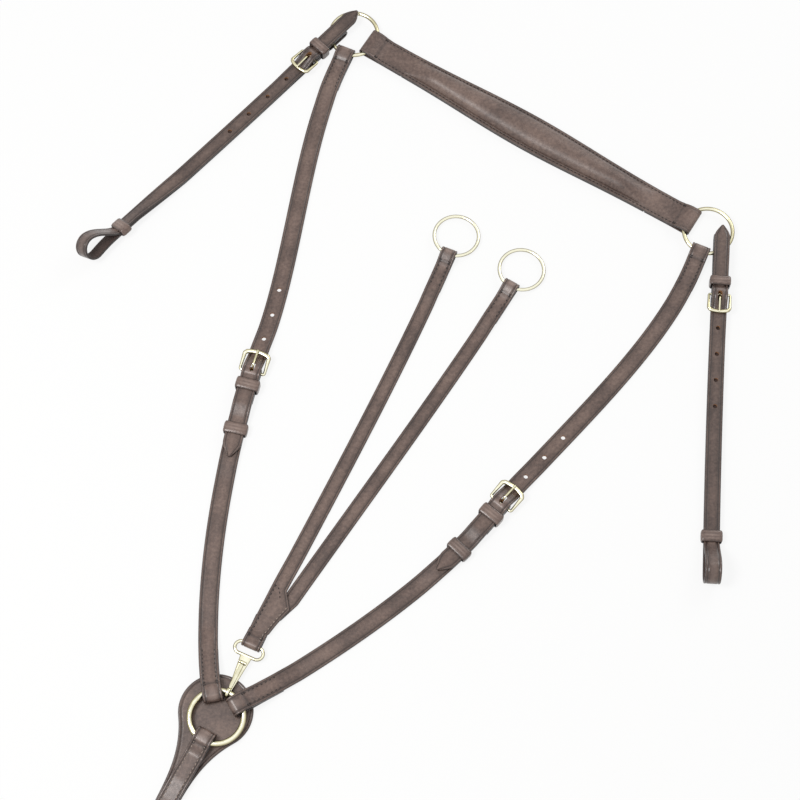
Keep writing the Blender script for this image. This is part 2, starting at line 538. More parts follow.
def flesh_material(name, dark, mid):
    """Leather without its grain, on the flesh side or in a punched hole: a short nap, so dull."""
    _, tree, shader, coords = new_material(name, Roughness=0.78)
    nap = noise(tree, coords, 0.8, Detail=4.0)
    tree.links.new(ramp(tree, nap, [(0.35, dark), (0.65, mid)]), shader.inputs["Base Color"])
    tree.links.new(bump(tree, nap, 0.6, 0.12), shader.inputs["Normal"])


def thread_material(name, colour, light):
    """Waxed linen thread, two plies twisted: a dull line with a slanting ribbed sheen."""
    _, tree, shader, coords = new_material(name, Roughness=0.6)
    ply = add_node(tree, "ShaderNodeTexWave", {"Scale": 1 / (1.2 * MM), "Distortion": 0.4},
                   {"Vector": coords}, bands_direction="DIAGONAL").outputs
    tree.links.new(ramp(tree, ply["Color"], [(0.2, colour), (0.9, light)]), shader.inputs["Base Color"])
    tree.links.new(bump(tree, ply["Fac"], 0.5, 0.1), shader.inputs["Normal"])


def brass_material(name, bright, colour, tarnish, roughness):
    """Cast and drawn brass, polished: pale gold that turns to the dull olive of the room towards its outline."""
    _, tree, shader, coords = new_material(name, Metallic=1.0)
    haze = noise(tree, coords, 9, Detail=5.0, Roughness=0.6)
    shift = add_node(tree, "ShaderNodeMath", {1: 0.24, 2: -0.12}, {0: haze}, operation="MULTIPLY_ADD")
    turned = add_node(tree, "ShaderNodeLayerWeight", {"Blend": 0.5})
    place = add_node(tree, "ShaderNodeMath", links={0: turned.outputs["Facing"], 1: shift.outputs[0]},
                     operation="ADD", use_clamp=True)
    gold = ramp(tree, place.outputs[0], [(0.02, bright), (0.14, colour), (0.5, tarnish)])
    tree.links.new(gold, shader.inputs["Base Color"])
    polish = ramp(tree, haze, [(0.3, grey(roughness + 0.09)), (0.7, grey(roughness - 0.03))])
    tree.links.new(polish, shader.inputs["Roughness"])
    lines = bump(tree, noise(tree, coords, 0.6, Detail=2.0), 0.12, 0.05)
    tree.links.new(lines, shader.inputs["Normal"])


def material(name):
    return bpy.data.materials[name]


# Meshes

def finish_piece(name, verts, faces, materials, face_slots=None, burnish=None, smooth_angle=50):
    """Mesh object from points in millimetres, faces outwards, shaded smooth up to an angle."""
    mesh = bpy.data.meshes.new(name)
    mesh.from_pydata([Vector(v) * MM for v in verts], [], faces)
    for m in materials:
        mesh.materials.append(material(m))
    if face_slots:
        mesh.polygons.foreach_set("material_index", face_slots)
    if burnish:
        mesh.attributes.new("burnish", "FLOAT", "POINT").data.foreach_set("value", burnish)
    bm = bmesh.new()
    bm.from_mesh(mesh)
    bmesh.ops.remove_doubles(bm, verts=bm.verts, dist=1e-6)
    bmesh.ops.recalc_face_normals(bm, faces=bm.faces)
    for f in bm.faces:
        f.smooth = True
    for e in bm.edges:
        e.smooth = len(e.link_faces) == 2 and e.calc_face_angle(0) < math.radians(smooth_angle)
    bm.to_mesh(mesh)
    bm.free()
    obj = bpy.data.objects.new(name, mesh)
    bpy.context.scene.collection.objects.link(obj)
    return obj


def adopt(obj, body, slot, *nodes):
    """Gives a piece its body, its slot and the nodes that it stands in for."""
    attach(obj, body)
    if nodes:
        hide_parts(*nodes)
    return obj


def loops_to_faces(count, n, closed=False):
    """Quads between sections of n points each, and end caps unless the sweep is closed."""
    faces = []
    for i in range(count if closed else count - 1):
        a, b = i * n, ((i + 1) % count) * n
        faces += [(a + j, a + (j + 1) % n, b + (j + 1) % n, b + j) for j in range(n)]
    if not closed:
        faces += [tuple(range(n)), tuple(range((count - 1) * n, count * n))]
    return faces


GRAIN, EDGE, FLESH = 0, 1, 2
BACK = ("burnished_edge", "leather_flesh_side")
UP, ACROSS = Vector((0, 0, 1)), Vector((0, 1, 0))
# Seams: distance from the edge of a heavy and a light strap, half length of a cross seam on each,
# and the reach, depth and ink of the dent that a seam draws
SEAM_IN, LIGHT_SEAM_IN = 3.7, 3.5
SEAM_HALF, LIGHT_SEAM_HALF = STRAP_W / 2 - 3.4, LIGHT_W / 2 - 3.2
SEAM_REACH, SEAM_DEPTH, SEAM_INK = 2.6, 0.55, 0.75
# Where the cross seams lie: from the middle of the breast ring, from a wither ring's wire, from a rein
# ring's axis and along the fork
SHOULDER_SEAM, GIRTH_SEAM, WITHER_SEAM_OUT = BREAST_R + 6, BREAST_R + 5, 9.0
REIN_SEAM_OUT, SNAP_SEAM = 10.0, FORK_LEAD + 8
# Straps are drawn at least this wide and then narrowed, and folds are rubbed this pale at their crest
LEAST_W, CREST_RUB = 13.0, 0.4


def drawn_down(distance):
    """How far a seam draws leather down at a distance from it, 0 to 1."""
    return max(0.0, 1 - distance / SEAM_REACH) ** 2


def strap_section(w, t, look):
    """Points (y, d, burnish) round a strap: creased grain row, round edges, flesh row. Also the grain row's size."""
    half, top, r = w / 2, t / 2, look.edge_round / MM
    c, cw, cd = look.crease_inset / MM, look.crease_width / MM / 2, look.crease_depth / MM
    side = [(half, top - r - 0.15, 1.0), (half - 0.06 * r, top - 0.62 * r, 0.95),
            (half - 0.3 * r, top - 0.28 * r, 0.85), (half - 0.75 * r, top - 0.05 * r, 0.5),
            (half - 1.4 * r, top, 0.12), (half - c + cw, top, 0.2), (half - c + 0.5 * cw, top - 0.8 * cd, 0.8),
            (half - c, top - cd, 0.95), (half - c - 0.5 * cw, top - 0.8 * cd, 0.75), (half - c - cw, top, 0.35),
            (half - c - 3 * cw, top, 0.2), (0.3 * half, top, 0.0)]
    grain = side + [(0.0, top, -0.06)] + [(-y, d, b) for y, d, b in side[::-1]]
    back = [(half, -top + r, 1.0), (half - 0.3 * r, -top + 0.28 * r, 1.0), (half - r, -top, 0.9),
            (half * 0.5, -top, 0.0)]
    flesh = [(-y, d, b) for y, d, b in back] + back[::-1]
    return grain + flesh, len(grain)


def path_frames(path):
    """Each station with the normal of its side path."""
    last, out = len(path) - 1, []
    for i, (s, z, w, shift) in enumerate(path):
        a, b = path[max(i - 1, 0)], path[min(i + 1, last)]
        ds, dz = b[0] - a[0], b[1] - a[1]
        size = math.hypot(ds, dz)
        out.append((s, z, w, shift, -dz / size, ds / size))
    return out


def clean_path(path):
    """Drops stations that repeat the one before."""
    out = [path[0]]
    for p in path[1:]:
        if math.hypot(p[0] - out[-1][0], p[1] - out[-1][1]) > 0.05:
            out.append(p)
    return out


def strap_mesh(name, route, path, t, grain=1, cutters=(), lined=False, pinches=(), hide="bridle_leather"):
    """Leather strap along a side path, with round burnished edges and a crease line along each edge.
    pinches are the places along the route where stitches draw the upper layer down."""
    look = bpy.context.scene.martingale_leather
    path = clean_path(path)
    verts, burnish, section, grain_n = [], [], [], 0
    stations = path_frames(path)
    for i, (s, z, w, shift, ns, nz) in enumerate(stations):
        last, ahead = stations[max(i - 1, 0)], stations[min(i + 1, len(stations) - 1)]
        bent = last[4] * ahead[5] - last[5] * ahead[4]
        crest = CREST_RUB * max(0.0, min(1.0, abs(bent) / 0.3 - 0.4)) * max(0.0, nz * grain) ** 0.5
        full = max(w, LEAST_W)
        section, grain_n = strap_section(full, t, look)
        near = min(abs(s - p) for p in pinches) if pinches and nz * grain > 0.7 else SEAM_REACH
        drawn = drawn_down(near)
        for y, d, b in section:
            d -= SEAM_DEPTH * drawn * (d > 0)
            verts.append(route.lay(s + ns * d * grain, shift + y * w / full, z + nz * d * grain))
            rubbed = b - crest if abs(b) < 0.3 else b
            burnish.append(rubbed if drawn < 0.05 or d < 0 else max(b, SEAM_INK * drawn))
    n = len(section)
    faces = loops_to_faces(len(path), n)
    row = []
    for j in range(n):
        b = max(section[j][2], section[(j + 1) % n][2])
        inner = b < 0.95 and j >= grain_n
        row.append(GRAIN if j < grain_n - 1 or inner and lined else FLESH if inner else EDGE)
    slots = row * (len(path) - 1) + [EDGE, EDGE]
    obj = finish_piece(name, verts, faces, [hide, *BACK], slots, burnish)
    if cutters:
        cut(obj, cutters)
    return obj


def cut(obj, cutters):
    """Punches upright holes and slots through a strap: cutters of (matrix, half length, half width, z0, z1)."""
    bm = bmesh.new()
    for place, half, r, z0, z1 in cutters:
        ends = [(half, q) for q in range(-90, 91, 12)] + [(-half, q) for q in range(90, 271, 12)]
        ring = [(x + r * math.cos(math.radians(q)), r * math.sin(math.radians(q))) for x, q in ends]
        low = [bm.verts.new((place @ Vector((x, y, z0))) * MM) for x, y in ring]
        high = [bm.verts.new((place @ Vector((x, y, z1))) * MM) for x, y in ring]
        bm.faces.new(low[::-1])
        bm.faces.new(high)
        for i in range(len(ring)):
            j = (i + 1) % len(ring)
            bm.faces.new((low[i], low[j], high[j], high[i]))
    bmesh.ops.remove_doubles(bm, verts=bm.verts, dist=1e-6)
    bmesh.ops.recalc_face_normals(bm, faces=bm.faces)
    mesh = bpy.data.meshes.new("cutter")
    bm.to_mesh(mesh)
    bm.free()
    mesh.materials.append(material("raw_leather_core"))
    tool = bpy.data.objects.new("cutter", mesh)
    bpy.context.scene.collection.objects.link(tool)
    modifier = obj.modifiers.new("holes", "BOOLEAN")
    modifier.object, modifier.operation, modifier.solver = tool, "DIFFERENCE", "EXACT"
    modifier.material_mode = "TRANSFER"
    freeze(obj)
    bpy.data.objects.remove(tool)


def freeze(obj):
    """Puts the evaluated mesh in place of the modifiers."""
    evaluated = obj.evaluated_get(bpy.context.evaluated_depsgraph_get())
    mesh = bpy.data.meshes.new_from_object(evaluated)
    obj.modifiers.clear()
    old, obj.data = obj.data, mesh
    bpy.data.meshes.remove(old)


def sweep(points, side, section, closed=False):
    """Points of sections swept along a path. side is the fixed cross direction; section(i) gives (across, up)."""
    n, verts, size = len(points), [], 0
    for i, p in enumerate(points):
        a = points[(i - 1) % n] if closed or i else points[0]
        b = points[(i + 1) % n] if closed or i < n - 1 else points[-1]
        along = (b - a).normalized()
        across = (side - along * side.dot(along)).normalized()
        up = along.cross(across)
        ring = section(i)
        size = len(ring)
        verts += [p + across * x + up * y for x, y in ring]
    return verts, loops_to_faces(n, size, closed)


def round_section(rx, ry, n=16, power=2.0):
    """Round or softly squared section."""
    out = []
    for k in range(n):
        c, s = math.cos(2 * math.pi * k / n), math.sin(2 * math.pi * k / n)
        out.append((rx * math.copysign(abs(c) ** (2 / power), c), ry * math.copysign(abs(s) ** (2 / power), s)))
    return out


def placed(place, parts):
    """Several (verts, faces) joined and put in place."""
    verts, faces = [], []
    for v, f in parts:
        faces += [tuple(i + len(verts) for i in face) for face in f]
        verts += [place @ p for p in v]
    return verts, faces


def cast(name, place, parts, brass="polished_brass"):
    """Brass piece of several (verts, faces), put in place."""
    return finish_piece(name, *placed(place, parts), [brass])


def corner_arc(c, r, start, stop, n=7):
    """Points in plan round a centre, from start to stop degrees."""
    return [Vector((*c, 0)) + r * toward(start + (stop - start) * i / n).to_3d() for i in range(n + 1)]


def upright(c, r, start, stop, n):
    """The same points on edge, in x and z."""
    return [p.xzy for p in corner_arc(c, r, start, stop, n)]


def spline(points, steps=6):
    """Smooth line through points."""
    ends = [2 * points[0] - points[1]] + points + [2 * points[-1] - points[-2]]
    out = []
    for p0, p1, p2, p3 in zip(ends, ends[1:], ends[2:], ends[3:]):
        for i in range(steps):
            u = i / steps
            out.append(0.5 * (2 * p1 + (p2 - p0) * u + (2 * p0 - 5 * p1 + 4 * p2 - p3) * u * u
                              + (3 * p1 - p0 - 3 * p2 + p3) * u ** 3))
    return out + [points[-1]]


# Stitches

STITCH_LINES = {}


def sew(body, line, thread="waxed_linen_thread"):
    """Keeps a stitch line, points in millimetres, for the body it rides on."""
    if len(line) > 1:
        STITCH_LINES.setdefault((body, thread), []).append(line)


def sew_strap(body, route, path, t, span, inset, grain=1, sides=(1, -1), edges=(1, -1), depth=0.12,
              thread="waxed_linen_thread"):
    """Rows of stitches along both edges of a strap on its upper and lower grain face, from span[0] to span[1]."""
    frames = path_frames(clean_path(path))
    for face in sides:
        for edge in edges:
            line = []
            for s, z, w, shift, ns, nz in frames:
                if span[0] <= s <= span[1] and nz * grain * face > 0.6:
                    d = (t / 2 - depth) * grain
                    line.append(route.lay(s + ns * d, shift + edge * (w / 2 - inset), z + nz * d))
                elif line:
                    sew(body, line, thread)
                    line = []
            sew(body, line, thread)


def sew_across(body, route, path, t, s_at, half, grain=1, face=1, depth=0.05):
    """Two short rows of stitches across each edge of a strap, where a fold's seam ends."""
    near = [f for f in path_frames(clean_path(path)) if f[5] * grain * face > 0.6]
    for at in (s_at - 0.9, s_at + 1.3):
        s, z, w, shift, ns, nz = min(near, key=lambda f: abs(f[0] - at))
        d = (t / 2 - depth) * grain
        for edge in (1, -1):
            sew(body, [route.lay(at + ns * d, shift + edge * (half - 0.3 - 2 * i), z + nz * d) for i in range(2)])


def stitch_tree():
    """Geometry nodes: threads of a given length at a given pitch along each line."""
    tree = bpy.data.node_groups.new("Stitches", "GeometryNodeTree")
    face = tree.interface
    face.new_socket("Geometry", in_out="INPUT", socket_type="NodeSocketGeometry")
    for name in ("Pitch", "Length", "Thread"):
        face.new_socket(name, in_out="INPUT", socket_type="NodeSocketFloat")
    face.new_socket("Material", in_out="INPUT", socket_type="NodeSocketMaterial")
    face.new_socket("Geometry", in_out="OUTPUT", socket_type="NodeSocketGeometry")
    given = add_node(tree, "NodeGroupInput").outputs
    line = add_node(tree, "GeometryNodeMeshToCurve", links={"Mesh": given["Geometry"]})
    points = add_node(tree, "GeometryNodeCurveToPoints", links={"Curve": line.outputs[0],
                                                               "Length": given["Pitch"]}, mode="LENGTH")
    turned = add_node(tree, "FunctionNodeAlignRotationToVector", links={"Vector": points.outputs["Tangent"]},
                      axis="X")
    size = add_node(tree, "ShaderNodeCombineXYZ", links={"X": given["Length"], "Y": given["Thread"],
                                                         "Z": given["Thread"]})
    bead = add_node(tree, "GeometryNodeMeshUVSphere", {"Segments": 8, "Rings": 6, "Radius": 0.5})
    thread = add_node(tree, "GeometryNodeTransform", links={"Geometry": bead.outputs["Mesh"],
                                                            "Scale": size.outputs[0]})
    many = add_node(tree, "GeometryNodeInstanceOnPoints",
                    links={"Points": points.outputs["Points"], "Instance": thread.outputs[0],
                           "Rotation": turned.outputs[0]})
    real = add_node(tree, "GeometryNodeRealizeInstances", links={"Geometry": many.outputs[0]})
    done = add_node(tree, "GeometryNodeSetMaterial", links={"Geometry": real.outputs[0],
                                                            "Material": given["Material"]})
    add_node(tree, "NodeGroupOutput", links={"Geometry": done.outputs[0]})
    return tree


# Properties

def length_of(name, description, size):
    """Length, its default in millimetres."""
    return FloatProperty(name=name, description=description, default=size * MM, unit="LENGTH")


def shade_of(name, description, code):
    """Colour as an sRGB hex code."""
    return StringProperty(name=name, description=description, default=code)


class MartingaleLeather(bpy.types.PropertyGroup):
    edge_round: length_of("Edge Radius", "Radius of the rubbed strap edges", 0.75)
    crease_inset: length_of("Crease Inset", "Distance of the crease line from the edge", 2.5)
    crease_width: length_of("Crease Width", "Width of the crease line", 1.3)
    crease_depth: length_of("Crease Depth", "Depth of the crease line", 0.4)
    light: shade_of("Light Dye", "Leather where the dye is thin", "#7c675d")
    mid: shade_of("Dye", "Havana brown of the leather", "#645149")
    dark: shade_of("Deep Dye", "Leather where the dye is deep", "#483832")
    edge: shade_of("Edge Ink", "Inked and burnished edges", "#2a201d")
    flesh: shade_of("Flesh Side", "Back of the leather", "#5a4842")
    core: shade_of("Core", "Undyed leather in a punched hole", "#8a5f3e")
    core_light: shade_of("Pale Core", "Lighter undyed leather", "#c99a6c")


class MartingaleThread(bpy.types.PropertyGroup):
    pitch: length_of("Pitch", "Distance between stitches", 4.2)
    length: length_of("Length", "Visible length of a stitch", 2.7)
    thickness: length_of("Thread", "Thickness of the thread", 1.15)
    colour: shade_of("Colour", "Colour of the thread", "#140e0d")
    light: shade_of("Ply Light", "Lighter side of the twisted plies", "#2c2220")
    worn: shade_of("Worn Thread", "Thread rubbed to its flax colour", "#b3a598")


class MartingaleBrass(bpy.types.PropertyGroup):
    bright: shade_of("Bright", "Brass where it faces the eye", "#f7f4dc")
    colour: shade_of("Colour", "Polished brass", "#d2cba6")
    tarnish: shade_of("Tarnish", "Brass towards its outline", "#776c4a")
    roughness: FloatProperty(name="Roughness", description="Roughness of the polish", default=0.17, subtype="FACTOR")


class MartingaleStage(bpy.types.PropertyGroup):
    floor: shade_of("Floor", "Colour of the floor", "#f4f4f2")
    key: FloatProperty(name="Key Light", description="Power of the large light", default=22.0, unit="POWER")
    fill: FloatProperty(name="Fill Light", description="Power of the opposite light", default=10.0, unit="POWER")
    room: FloatProperty(name="Room Light", description="Strength of the room", default=0.5, subtype="FACTOR")
    target: FloatVectorProperty(name="Target", description="Point at the middle of the picture",
                                default=(0.17409, 0.32295, 0.0), subtype="TRANSLATION")
    distance: FloatProperty(name="Distance", description="Camera distance", default=2.3, unit="LENGTH")
    elevation: FloatProperty(name="Elevation", description="Camera height angle", default=math.radians(70),
                             subtype="ANGLE")
    lens: FloatProperty(name="Lens", description="Focal length in millimetres", default=103.5, unit="CAMERA")


# Operators

class MARTINGALE_OT_materials(bpy.types.Operator):
    """Makes the leather, thread and brass materials"""
    bl_idname = "martingale.materials"
    bl_label = "Leather, Thread and Brass"

    def execute(self, context):
        leather, thread = context.scene.martingale_leather, context.scene.martingale_thread
        brass = context.scene.martingale_brass
        light, mid, dark = linear(leather.light), linear(leather.mid), linear(leather.dark)
        edge = linear(leather.edge)
        leather_material("bridle_leather", light, mid, dark, edge, 0.36, 0.16)
        deeper = [tuple(0.8 * v for v in tone[:3]) + (1.0,) for tone in (light, mid, dark)]
        leather_material("saddle_strap_leather", *deeper, edge, 0.34, 0.16)
        leather_material("burnished_edge", dark, edge, edge, edge, 0.4, 0.08)
        leather_material("keeper_leather", light, mid, dark, edge, 0.3, 0.14, 0.35)
        leather_material("padded_leather", light, mid, dark, edge, 0.46, 0.24, 0.4)
        flesh_material("leather_flesh_side", edge, linear(leather.flesh))
        flesh_material("raw_leather_core", linear(leather.core), linear(leather.core_light))
        thread_material("waxed_linen_thread", linear(thread.colour), linear(thread.light))
        thread_material("rubbed_linen_thread", linear(leather.light), linear(thread.worn))
        bright, colour, tarnish = linear(brass.bright), linear(brass.colour), linear(brass.tarnish)
        brass_material("polished_brass", bright, colour, tarnish, brass.roughness)
        brass_material("pale_drawn_brass", bright, bright, tarnish, brass.roughness)
        return {"FINISHED"}


CUT_TOP = 24.0


def heel_slot(route, h, z0, z1):
    """Slot for a tongue in the leather round a heel bar."""
    return (route.place(h) @ Matrix.Translation((3, 0, 0)), 7.0, 2.1, z0, z1)


def oval_hole(route, h, z0, z1):
    return (route.place(h) @ Matrix.Translation((3.35, 0, 0)), 3.05, HOLE_D / 2, z0, z1)


def round_hole(route, s, z0, z1):
    return (route.place(s), 0.0, HOLE_D / 2, z0, z1)


class MARTINGALE_OT_shoulder_straps(bpy.types.Operator):
    """Makes the two buckled shoulder straps"""
    bl_idname = "martingale.shoulder_straps"
    bl_label = "Shoulder Straps"

    def execute(self, context):
        for side in ("left", "right"):
            route, h = ROUTES[side], HEELS[side]
            path = shoulder_strap_path(h)
            slot = heel_slot(route, h, -2, SHOULDER_HEEL_Z + 2 * HEEL_RAD)
            seam = SHOULDER_SEAM
            adopt(strap_mesh(f"{side}_shoulder_leather", route, path, STRAP_T, cutters=[slot], pinches=[seam]),
                  "neck_loop", "leather", f"{side}_shoulder_strap")
            sewn = BREAST_R + TURN_BACK - 1
            sew_strap("neck_loop", route, path, STRAP_T, (seam, sewn), SEAM_IN, sides=(1,))
            sew_strap("neck_loop", route, path, STRAP_T, (BREAST_R + SHIELD_OUT + 2, sewn), SEAM_IN, sides=(-1,))
            sew_across("neck_loop", route, path, STRAP_T, seam, SEAM_HALF)
            sew_strap("neck_loop", route, path, STRAP_T, (h - BUCKLE_BACK + 1, h - 8), 3.3, sides=(-1,))
            path = shoulder_billet_path(h, route.length)
            holes = [oval_hole(route, h, SHOULDER_FRONT_LOW, SHOULDER_OVER + 6)]
            holes += [round_hole(route, h + BUCKLE_L + FIRST_HOLE + i * HOLE_PITCH, -2, 20) for i in range(3)]
            end = route.length - WITHER_R
            seam = end - WITHER_SEAM_OUT
            adopt(strap_mesh(f"{side}_shoulder_billet_leather", route, path, STRAP_T, cutters=holes, pinches=[seam]),
                  "neck_loop", "leather", f"{side}_shoulder_billet")
            sew_strap("neck_loop", route, path, STRAP_T, (end - TURN_BACK + 1, seam), SEAM_IN)
            sew_across("neck_loop", route, path, STRAP_T, seam, SEAM_HALF)
        return {"FINISHED"}


class MARTINGALE_OT_saddle_straps(bpy.types.Operator):
    """Makes the two saddle straps with their loops"""
    bl_idname = "martingale.saddle_straps"
    bl_label = "Saddle Straps"

    def execute(self, context):
        for side in ("left", "right"):
            route, h, body = ROUTES[f"{side}_saddle"], HEELS[f"{side}_saddle"], f"{side}_saddle_strap"
            path = saddle_path(h, LEFT_OVER if side == "left" else RIGHT_OVER)
            above = LIGHT_LIFTED_Z + (LIGHT_T + LAYER_GAP) / 2
            holes = [oval_hole(route, h, above, CUT_TOP)]
            holes += [round_hole(route, h + SADDLE_BUCKLE_L + FIRST_HOLE + i * HOLE_PITCH, above, CUT_TOP)
                      for i in range(4)]
            adopt(strap_mesh(f"{side}_saddle_leather", route, path, LIGHT_T, grain=-1, cutters=holes,
                             hide="saddle_strap_leather"),
                  body, "leather", f"{side}_saddle_strap")
            sew_strap(body, route, path, LIGHT_T, (h - 40, h - 22), 3.0, grain=-1, sides=(-1,))
        return {"FINISHED"}


class MARTINGALE_OT_fork(bpy.types.Operator):
    """Makes the two branches of the fork"""
    bl_idname = "martingale.fork"
    bl_label = "Fork"

    def execute(self, context):
        for side, path in (("left", fork_left_path()), ("right", fork_right_path())):
            route = ROUTES[f"{side}_fork"]
            end = route.length - REIN_AXIS_BACK
            seam = end - REIN_SEAM_OUT
            seams = [seam, SNAP_SEAM] if side == "left" else [seam]
            adopt(strap_mesh(f"{side}_fork_leather", route, path, LIGHT_T, pinches=seams), "fork", "leather",
                  f"fork_{side}_branch")
            sew_strap("fork", route, path, LIGHT_T, (end - TURN_BACK + 1, seam), LIGHT_SEAM_IN)
            sew_across("fork", route, path, LIGHT_T, seam, LIGHT_SEAM_HALF)
        route, path, lap = ROUTES["left_fork"], fork_left_path(), (SNAP_SEAM, FORK_LEAD + FLARE_TO)
        sew_strap("fork", route, path, LIGHT_T, (SNAP_SEAM, FORK_LEAD + FORK_LAP + 4), 3.6, sides=(1,), edges=(1,))
        sew_strap("fork", route, path, LIGHT_T, lap, SEAM_IN, sides=(1,), edges=(-1,), thread="rubbed_linen_thread")
        sew_strap("fork", route, path, LIGHT_T, (SNAP_SEAM, FORK_LEAD + FORK_TAIL - 5), 3.1, sides=(-1,))
        sew_across("fork", route, path, LIGHT_T, SNAP_SEAM, STRAP_W / 2 - 2.8)
        inset = FORK_LEAD + FORK_LAP + 1
        z = LIGHT_FLOOR_Z + LIGHT_RISE + LIGHT_T / 2 - 0.12
        sew("fork", [route.lay(inset - 9 * (i / 8) ** 2, LIGHT_W / 2 - 3.6 - 9 * i / 8, z) for i in range(9)])
        return {"FINISHED"}


class MARTINGALE_OT_girth_strap(bpy.types.Operator):
    """Makes the girth strap, its buckle chape and the shield behind the breast ring"""
    bl_idname = "martingale.girth_strap"
    bl_label = "Girth Strap and Shield"

    def execute(self, context):
        route, h, body = ROUTES["girth"], GIRTH_HEEL, "girth_strap"
        above = LIFTED_Z + (STRAP_T + LAYER_GAP) / 2
        path = girth_path()
        holes = [oval_hole(route, h, above, CUT_TOP)]
        holes += [round_hole(route, h + BUCKLE_L + FIRST_HOLE + i * HOLE_PITCH, above, CUT_TOP) for i in range(2)]
        seam = GIRTH_SEAM
        adopt(strap_mesh("girth_leather", route, path, STRAP_T, cutters=holes, lined=True, pinches=[seam]), body,
              "leather", "girth_strap")
        sew_strap(body, route, path, STRAP_T, (seam, SHIELD_TAIL - 3), SEAM_IN, sides=(1,),
                  thread="rubbed_linen_thread")
        sew_across(body, route, path, STRAP_T, seam, SEAM_HALF)
        slot = heel_slot(route, h, above, CUT_TOP)
        adopt(strap_mesh("girth_chape_leather", route, girth_chape_path(), LIGHT_T, grain=-1, cutters=[slot]),
              body, "leather", "girth_chape")
        adopt(shield_mesh(), body, "dark_leather", "breast_shield")
        return {"FINISHED"}


SHIELD_AXIS = SHIELD_TAIL * toward(GIRTH_LEAVE) - SHIELD_HEAD


def shield_outline():
    """The shield's outline in plan, from its head round its tail and back."""
    y0, length = math.sqrt(SHIELD_R ** 2 - SHIELD_FLARE ** 2), SHIELD_AXIS.length - SHIELD_FLARE
    stop = math.degrees(math.acos(SHIELD_FLARE / SHIELD_R)) + 1.5
    head = [SHIELD_R * toward(180 - (180 - stop) * i / 40) for i in range(40)]
    tail = []
    for i in range(41):
        u = i / 40
        m0, y1, m1 = -length * SHIELD_FLARE / y0, STRAP_W / 2 + 0.5, -length * 0.05
        y = ((2 * u ** 3 - 3 * u ** 2 + 1) * y0 + (u ** 3 - 2 * u ** 2 + u) * m0
             + (3 * u ** 2 - 2 * u ** 3) * y1 + (u ** 3 - u ** 2) * m1)
        tail.append(Vector((SHIELD_FLARE + length * u, y)))
    side = head + tail
    corner = [Vector((SHIELD_AXIS.length, side[-1].y * (1 - 2 * i / 8))) for i in range(1, 8)]
    return side + corner + [Vector((p.x, -p.y)) for p in side[:0:-1]]


def shield_mesh():
    """Leather plate with round edges and a crease line round its border."""
    outline = shield_outline()
    n, t = len(outline), SHIELD_T
    steps = [outline[(i + 1) % n] - outline[i - 1] for i in range(n)]
    normals = [Vector((-d.y, d.x)).normalized() for d in steps]
    # Inset, height and burnish of each row, from the back over the edge to the face
    rows = [(0.7, 0.0, 0.6), (0.15, 0.25, 1.0), (0, 0.9, 1.0), (0, t - 0.9, 1.0), (0.15, t - 0.3, 0.9),
            (0.7, t, 0.5), (2.6, t, 0.2), (2.9, t - 0.25, 0.7), (3.15, t - 0.32, 0.85), (3.4, t - 0.25, 0.6),
            (3.7, t, 0.1), (5.0, t, 0.0)]
    spin = (Matrix.Translation((SHIELD_HEAD.x, SHIELD_HEAD.y, 0))
            @ Matrix.Rotation(math.atan2(SHIELD_AXIS.y, SHIELD_AXIS.x), 4, "Z"))
    verts, burnish = [], []
    for inset, z, b in rows:
        verts += [spin @ Vector((*(p - m * inset), z)) for p, m in zip(outline, normals)]
        burnish += [b] * n
    slots = [EDGE] * (4 * n) + [GRAIN] * ((len(rows) - 5) * n) + [FLESH, GRAIN]
    return finish_piece("breast_shield_leather", verts, loops_to_faces(len(rows), n), ["bridle_leather", *BACK],
                        slots, burnish)


ROLL_MARGIN = 5.0
ROLL_FROM = WITHER_R + TURN_BACK
ROLL_FULL = ROLL_FROM + 34
WITHER_FACE_Z = 1.5 * WITHER_T + LAYER_GAP
WITHER_SEAM, WITHER_STEPS = WITHER_R + WITHER_SEAM_OUT, 60


def from_end(s):
    return min(s, WITHER_SPAN - s)


def wither_w(s):
    share = max(0.0, from_end(s) / (WITHER_SPAN / 2))
    return WITHER_END_W + (WITHER_MID_W - WITHER_END_W) * math.sin(math.pi / 2 * share) ** 4


def roll_h(s):
    u = (from_end(s) - ROLL_FROM) / (ROLL_FULL - ROLL_FROM)
    return ROLL_H * (0 if u <= 0 else 1 if u >= 1 else smooth(u))


def wither_path():
    w, low = WITHER_END_W, WITHER_Z - WITHER_WIRE / 2 - EASE - WITHER_T / 2
    spots = [ROLL_FROM + (WITHER_SPAN - 2 * ROLL_FROM) * i / WITHER_STEPS for i in range(WITHER_STEPS + 1)]
    fold = ring_fold(0, 1, WITHER_R, WITHER_WIRE, w, WITHER_T, low, WITHER_T / 2)
    far = ring_fold(WITHER_SPAN, -1, WITHER_R, WITHER_WIRE, w, WITHER_T, low, WITHER_T / 2)
    return fold + level(WITHER_FACE_Z, w, *spots) + far[::-1]


